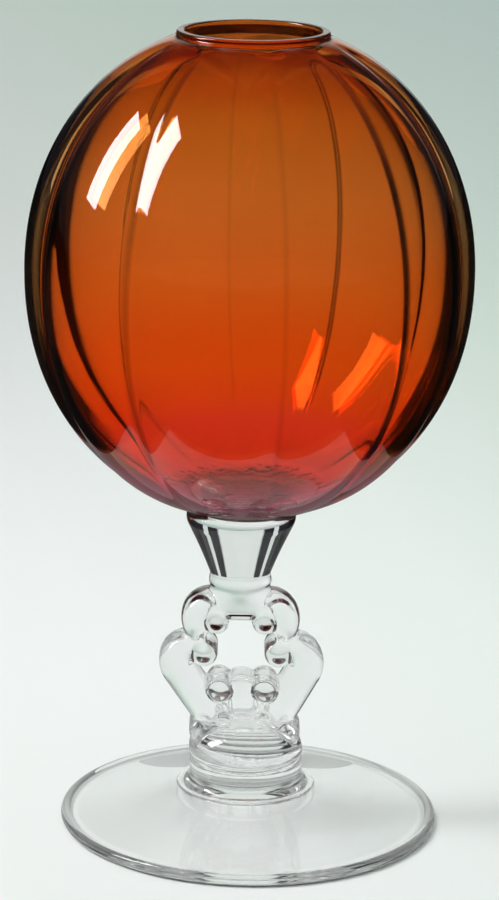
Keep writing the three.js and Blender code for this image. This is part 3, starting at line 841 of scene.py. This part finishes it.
    low = calc("LESS_THAN", z, given["Seed Ceiling"])
    floor_of_bowl = calc("MULTIPLY", calc("GREATER_THAN", inner, 0.5), low)
    scatter = nodes.new("GeometryNodeDistributePointsOnFaces")
    scatter.inputs["Seed"].default_value = 4
    link(tree, ribbed.outputs[0], scatter.inputs["Mesh"])
    link(tree, floor_of_bowl, scatter.inputs["Selection"])
    link(tree, given["Seed Crowd"], scatter.inputs["Density"])
    sink = nodes.new("FunctionNodeRandomValue")
    sink.inputs["Seed"].default_value = 7
    put(calc("MULTIPLY", given["Seed Depth"], -1), sink.inputs[2])
    put(calc("MULTIPLY", given["Seed Depth"], -0.15), sink.inputs[3])
    below = nodes.new("ShaderNodeCombineXYZ")
    link(tree, sink.outputs[1], below.inputs[2])
    sunk = nodes.new("GeometryNodeSetPosition")
    link(tree, scatter.outputs["Points"], sunk.inputs["Geometry"])
    link(tree, below.outputs[0], sunk.inputs["Offset"])
    ball = nodes.new("GeometryNodeMeshIcoSphere")
    ball.inputs["Subdivisions"].default_value = 2
    link(tree, given["Seed Size"], ball.inputs["Radius"])
    hollow = nodes.new("GeometryNodeFlipFaces")
    link(tree, ball.outputs["Mesh"], hollow.inputs["Mesh"])
    rounded = nodes.new("GeometryNodeSetShadeSmooth")
    link(tree, hollow.outputs[0], rounded.inputs["Geometry"])
    size = nodes.new("FunctionNodeRandomValue")
    size.inputs["Seed"].default_value = 11
    size.inputs[2].default_value = 0.3
    size.inputs[3].default_value = 1.0
    seeds = nodes.new("GeometryNodeInstanceOnPoints")
    link(tree, sunk.outputs[0], seeds.inputs["Points"])
    link(tree, rounded.outputs[0], seeds.inputs["Instance"])
    link(tree, size.outputs[1], seeds.inputs["Scale"])
    whole = nodes.new("GeometryNodeJoinGeometry")
    link(tree, seeds.outputs[0], whole.inputs[0])
    link(tree, ribbed.outputs[0], whole.inputs[0])
    real = nodes.new("GeometryNodeRealizeInstances")
    link(tree, whole.outputs[0], real.inputs[0])
    glazed = nodes.new("GeometryNodeSetMaterial")
    link(tree, real.outputs[0], glazed.inputs["Geometry"])
    link(tree, given["Glass"], glazed.inputs["Material"])
    seamed = nodes.new("GeometryNodeSetMaterial")
    link(tree, glazed.outputs[0], seamed.inputs["Geometry"])
    link(tree, calc("LESS_THAN", z, given["Seam Height"]), seamed.inputs["Selection"])
    link(tree, given["Seam"], seamed.inputs["Material"])
    link(tree, seamed.outputs[0], result.inputs[0])
    return tree


base = half_globe(BOWL_RADIUS, *BASE, BASE_EDGE, BOWL_RADIUS)
crown = half_globe(BOWL_RADIUS, *CROWN, BOWL_RADIUS, CROWN_EDGE)
outer_wall = [
    (0, STEM_TOP),
    (CUP_SEAT, STEM_TOP),
    *bend((JOINT_RADIUS, STEM_TOP + 0.6), (JOINT_RADIUS, base[0][1] - 0.3), base[0], 6),
    *base[1:],
    *crown[1:],
    *bend(crown[-1], (COLLAR_WAIST, crown[-1][1] + 0.4), (RIM_RADIUS, RIM_SIDE), 8)[1:],
    *quarter_round(RIM_RADIUS - RIM_EDGE, RIM_SIDE, RIM_EDGE, 0)[1:],
]
inner_shoulder = half_globe(INNER_RADIUS, CROWN[0] - 2.2, CROWN[1], MOUTH_RADIUS + 1, INNER_RADIUS)
inner_neck = (MOUTH_RADIUS, RIM_SIDE - RIM_EDGE)
inner_base = half_globe(INNER_RADIUS, BASE[0] + 2.7, BASE[1], INNER_RADIUS, FLOOR_CORNER[0] + 2)
inner_wall = [
    *quarter_round(MOUTH_RADIUS + RIM_EDGE, RIM_SIDE, RIM_EDGE, 90),
    *bend(inner_neck, (MOUTH_RADIUS, inner_shoulder[0][1]), inner_shoulder[0], 8),
    *inner_shoulder[1:],
    *inner_base[1:],
    *bend(inner_base[-1], FLOOR_CORNER, (FLOOR_CORNER[0] - 2, FLOOR_CORNER[1]), 8)[1:],
    (0, FLOOR_CORNER[1]),
]
bowl_angles = rib_angles()
globe = turned("globe", outer_wall + inner_wall, bowl_angles, leaning=False)
side_of_wall = []
for side, wall in ((0.0, outer_wall), (1.0, inner_wall)):
    for r, z in wall:
        side_of_wall += [side] * (len(bowl_angles) if r > 1e-6 else 1)
globe.data.attributes.new("inner_wall", "FLOAT", "POINT").data.foreach_set("value", side_of_wall)
ribs = globe.modifiers.new("melon_ribs", "NODES")
ribs.node_group = melon_tree()
bowl_sizes = {
    "Rib Count": float(RIB_COUNT),
    "Rib Phase": RIB_PHASE,
    "Rib Drift": math.radians(5),
    "Side Drift": math.radians(7.5),
    # width of the painted shade lines along the grooves
    "Shade Line Width": 0.6 * MM,
    "Groove Depth": 2.5 * MM,
    "Groove Round": 1.1 * MM,
    "Bowl Radius": BOWL_RADIUS * MM,
    "Rim Radius": RIM_RADIUS * MM,
    "Run Out": 7.0 * MM,
    "Inner Share": 0.8,
    "Seed Size": 0.32 * MM,
    "Seed Crowd": 110000.0,
    "Seed Depth": 2.4 * MM,
    "Seed Ceiling": 87.2 * MM,
    "Glass": amber_glass(),
    "Seam": purple_joint(),
    "Seam Height": (STEM_TOP + 0.01) * MM,
}
for item in ribs.node_group.interface.items_tree:
    if item.in_out == "INPUT" and item.name in bowl_sizes:
        ribs[item.identifier] = bowl_sizes[item.name]
blown = bpy.data.meshes.new_from_object(globe.evaluated_get(bpy.context.evaluated_depsgraph_get()))
bpy.data.objects.remove(globe)
blown.name = "bowl_glass"
bowl = bpy.data.objects.new("bowl_glass", blown)
scene.collection.objects.link(bowl)
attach(bowl, "root")
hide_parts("bowl")


# Floor: a wide sheet of pale paper, its colour painted with light and shade: brightest in a slanting band
# behind the vase, darker further off and to the right, and a little darker in front to the left.
# Black and grey cards lie on it round the vase, which only reflections see, as the dark side of a room.
FLOOR = -0.0002
FLOOR_REACH = 5


def plane(name, corners, material):
    """A flat sheet of the stage."""
    mesh = bpy.data.meshes.new(name)
    mesh.from_pydata(corners, [], [tuple(range(len(corners)))])
    mesh.materials.append(material)
    sheet = bpy.data.objects.new(name, mesh)
    scene.collection.objects.link(sheet)
    return sheet


paper = bpy.data.materials.new("pale_paper")
paper.use_nodes = True
paper_nodes = paper.node_tree.nodes
paper_shader = paper_nodes["Principled BSDF"]
paper_shader.inputs["Roughness"].default_value = 0.9
paper_shader.inputs["Specular IOR Level"].default_value = 0.0
paper_place = paper_nodes.new("ShaderNodeTexCoord")
paper_axes = paper_nodes.new("ShaderNodeSeparateXYZ")
link(paper.node_tree, paper_place.outputs["Object"], paper_axes.inputs["Vector"])
paper_slant = paper_nodes.new("ShaderNodeMath")
paper_slant.operation = "MULTIPLY_ADD"
paper_slant.inputs[1].default_value = 4.0
link(paper.node_tree, paper_axes.outputs["X"], paper_slant.inputs[0])
link(paper.node_tree, paper_axes.outputs["Y"], paper_slant.inputs[2])
paper_far = paper_nodes.new("ShaderNodeMapRange")
paper_far.inputs["From Min"].default_value = -0.25
paper_far.inputs["From Max"].default_value = 2.15
link(paper.node_tree, paper_slant.outputs[0], paper_far.inputs["Value"])
# Painted light and shade on the paper, by distance back and across, in place of the uneven way the lamps
# light the floor.
paper_painted_light = paper_nodes.new("ShaderNodeValToRGB")
paper_light_stops = (
    (0.0, (0.815, 0.835, 0.825)),
    (0.1, (0.875, 0.895, 0.89)),
    (0.3, (0.91, 0.97, 0.935)),
    (0.5, (0.84, 0.96, 0.875)),
    (1.0, (0.74, 0.87, 0.83)),
)
set_stops(paper_painted_light, paper_light_stops)
link(paper.node_tree, paper_far.outputs["Result"], paper_painted_light.inputs["Fac"])
link(paper.node_tree, paper_painted_light.outputs["Color"], paper_shader.inputs["Base Color"])
floor_corners = [(x * FLOOR_REACH, y * FLOOR_REACH, FLOOR) for x, y in ((-1, -1), (1, -1), (1, 1), (-1, 1))]
plane("floor", floor_corners, paper)


def dark_card(name, darkness, opening_radius):
    """Black, or partly so, for a mirrored view and open for any other; it has a round opening."""
    material = bpy.data.materials.new(name)
    material.use_nodes = True
    tree = material.node_tree
    nodes = tree.nodes
    black = nodes["Principled BSDF"]
    black.inputs["Base Color"].default_value = (0.01, 0.01, 0.01, 1)
    black.inputs["Specular IOR Level"].default_value = 0.0
    opening = nodes.new("ShaderNodeBsdfTransparent")
    rays = nodes.new("ShaderNodeLightPath")
    mirrored = nodes.new("ShaderNodeMath")
    mirrored.operation = "GREATER_THAN"
    mirrored.inputs[1].default_value = 0.5
    link(tree, rays.outputs["Glossy Depth"], mirrored.inputs[0])
    place = nodes.new("ShaderNodeTexCoord")
    away = nodes.new("ShaderNodeVectorMath")
    away.operation = "DISTANCE"
    away.inputs[1].default_value = (middle_at(0) * MM, 0, 0)
    link(tree, place.outputs["Object"], away.inputs[0])
    cover = nodes.new("ShaderNodeMapRange")
    cover.inputs["From Min"].default_value = opening_radius
    cover.inputs["From Max"].default_value = opening_radius + 0.004
    cover.inputs["To Max"].default_value = darkness
    link(tree, away.outputs["Value"], cover.inputs["Value"])
    share = nodes.new("ShaderNodeMath")
    share.operation = "MULTIPLY"
    link(tree, mirrored.outputs[0], share.inputs[0])
    link(tree, cover.outputs["Result"], share.inputs[1])
    either = nodes.new("ShaderNodeMixShader")
    link(tree, share.outputs[0], either.inputs["Fac"])
    link(tree, opening.outputs["BSDF"], either.inputs[1])
    link(tree, black.outputs["BSDF"], either.inputs[2])
    link(tree, either.outputs["Shader"], nodes["Material Output"].inputs["Surface"])
    return material


CARD = 0.0001
PAPER_EDGE = 0.105  # how far to each side reflections see any paper
PAPER_FRONT = -0.070
PAPER_BACK = 0.050  # behind this they see less of it
black_card = dark_card("black_card", 1.0, 0.0)
grey_card = dark_card("grey_card", 0.42, 0.044)
deep_grey_card = dark_card("deep_grey_card", 0.78, 0.0)
for name, left, front, right, back, card_material in (
    ("black_front", -FLOOR_REACH, -FLOOR_REACH, FLOOR_REACH, PAPER_FRONT, black_card),
    ("black_left", -FLOOR_REACH, PAPER_FRONT, -PAPER_EDGE, FLOOR_REACH, black_card),
    ("black_right", PAPER_EDGE, PAPER_FRONT, FLOOR_REACH, FLOOR_REACH, black_card),
    ("grey_middle", -PAPER_EDGE, PAPER_FRONT, PAPER_EDGE, PAPER_BACK, grey_card),
    ("grey_back", -PAPER_EDGE, PAPER_BACK, PAPER_EDGE, FLOOR_REACH, deep_grey_card),
):
    corners = [(left, front, CARD), (right, front, CARD), (right, back, CARD), (left, back, CARD)]
    card = plane(name, corners, card_material)
    card.visible_camera = False
    card.visible_diffuse = False
    card.visible_volume_scatter = False
    card.visible_shadow = False


# Light: a large softbox to the left and a little to the front, a weak even light from all round, and a
# pale backdrop behind the vase that only the camera and the glass see.
SOFTBOX_FROM = Vector((-0.82, -0.05, 0.55)).normalized()
SOFTBOX_AWAY = 0.62
SOFTBOX_AIM = Vector((0, 0, 0.143))
ROOM_COLOUR = (0.97, 1.0, 0.985)
softbox_at = SOFTBOX_AIM + SOFTBOX_FROM * SOFTBOX_AWAY
softbox_turn = (-SOFTBOX_FROM).to_track_quat("-Z", "Y")
softbox = bpy.data.lights.new("softbox", "AREA")
softbox.shape = "RECTANGLE"
softbox.size = 0.18
softbox.size_y = 0.38
softbox.energy = 3.4
softbox_lamp = bpy.data.objects.new("softbox", softbox)
softbox_lamp.matrix_world = Matrix.Translation(softbox_at) @ softbox_turn.to_matrix().to_4x4()
scene.collection.objects.link(softbox_lamp)

room = bpy.data.lights.new("room_light", "SUN")
room.energy = 1.66
room.angle = math.radians(150)
room.color = ROOM_COLOUR
room.cycles.use_multiple_importance_sampling = False
room_lamp = bpy.data.objects.new("room_light", room)
room_lamp.visible_glossy = False
room_lamp.visible_transmission = False
scene.collection.objects.link(room_lamp)

studio = bpy.data.worlds.new("studio")
scene.world = studio
studio.use_nodes = True
sky = studio.node_tree
sky.nodes.clear()
even_light = sky.nodes.new("ShaderNodeBackground")
even_light.inputs["Color"].default_value = (*ROOM_COLOUR, 1)
even_light.inputs["Strength"].default_value = 0.06
heading = sky.nodes.new("ShaderNodeTexCoord")
heading_axes = sky.nodes.new("ShaderNodeSeparateXYZ")
link(sky, heading.outputs["Generated"], heading_axes.inputs["Vector"])
rays = sky.nodes.new("ShaderNodeLightPath")


def sky_calc(operation, *values):
    """A sum in the world's nodes, of sockets and numbers."""
    node = sky.nodes.new("ShaderNodeMath")
    node.operation = operation
    for value, socket in zip(values, node.inputs):
        if isinstance(value, float):
            socket.default_value = value
        else:
            link(sky, value, socket)
    return node.outputs[0]


def sky_ramp(value, low, high):
    """A soft step from 0 to 1."""
    ramp = sky.nodes.new("ShaderNodeMapRange")
    ramp.interpolation_type = "SMOOTHSTEP"
    ramp.inputs["From Min"].default_value = low
    ramp.inputs["From Max"].default_value = high
    link(sky, value, ramp.inputs["Value"])
    return ramp.outputs["Result"]


onward = heading_axes.outputs["Y"]
upward = heading_axes.outputs["Z"]
level = sky_calc("SQRT", sky_calc("SUBTRACT", 1.0, sky_calc("POWER", upward, 2.0)))
facing_back = sky_calc("DIVIDE", onward, level)
gap = sky_calc("COMPARE", facing_back, 0.84, 0.03)
screen = sky_calc("MAXIMUM", sky_ramp(facing_back, 0.94, 0.955), gap)
in_front = sky_calc("MULTIPLY", sky_ramp(facing_back, -0.2, -0.6), 0.3)
overhead = sky_calc("MULTIPLY", sky_ramp(upward, 0.5, 0.7), 0.05)
through = sky_calc("MAXIMUM", screen, sky_calc("MAXIMUM", overhead, in_front))
is_through = rays.outputs["Is Transmission Ray"]
not_through = sky_calc("SUBTRACT", 1.0, is_through)
not_high = sky_ramp(upward, 0.82, 0.72)
behind = sky_calc("MULTIPLY", sky_ramp(facing_back, 0.955, 0.985), not_high)
mirrored = sky_calc("MULTIPLY", behind, not_through)
backdrop = sky.nodes.new("ShaderNodeValToRGB")
backdrop.color_ramp.elements[0].color = (0.025, 0.025, 0.03, 1)
backdrop.color_ramp.elements[1].color = (0.75, 0.80, 0.77, 1)
link(sky, sky_calc("MULTIPLY_ADD", through, is_through, mirrored), backdrop.inputs["Fac"])
seen = sky.nodes.new("ShaderNodeBackground")
link(sky, backdrop.outputs["Color"], seen.inputs["Color"])
looks = sky_calc("MAXIMUM", rays.outputs["Is Camera Ray"], rays.outputs["Is Glossy Ray"])
either = sky.nodes.new("ShaderNodeMixShader")
link(sky, sky_calc("MAXIMUM", looks, is_through), either.inputs["Fac"])
link(sky, even_light.outputs[0], either.inputs[1])
link(sky, seen.outputs[0], either.inputs[2])
sky_out = sky.nodes.new("ShaderNodeOutputWorld")
link(sky, either.outputs[0], sky_out.inputs["Surface"])


# Camera: a long lens a little over 0.8 m away that looks down on the vase, as in the photograph.
# Light may bounce many times, because the thick glass traps it.
CAMERA_AT = (0.00069, -0.8218, 0.3216)
CAMERA_DOWN = 15.25
CAMERA_ROLL = 0.95
lens = bpy.data.cameras.new("camera")
lens.sensor_width = 36.0
lens.lens = 136.36
camera = bpy.data.objects.new("camera", lens)
camera.matrix_world = (
    Matrix.Translation(CAMERA_AT)
    @ Matrix.Rotation(math.radians(90 - CAMERA_DOWN), 4, "X")
    @ Matrix.Rotation(math.radians(CAMERA_ROLL), 4, "Z")
)
scene.collection.objects.link(camera)
scene.camera = camera
scene.view_settings.view_transform = "Standard"
scene.cycles.max_bounces = 48
scene.cycles.glossy_bounces = 32
scene.cycles.transmission_bounces = 32
scene.cycles.transparent_max_bounces = 32
scene.cycles.caustics_refractive = False
scene.cycles.caustics_reflective = False
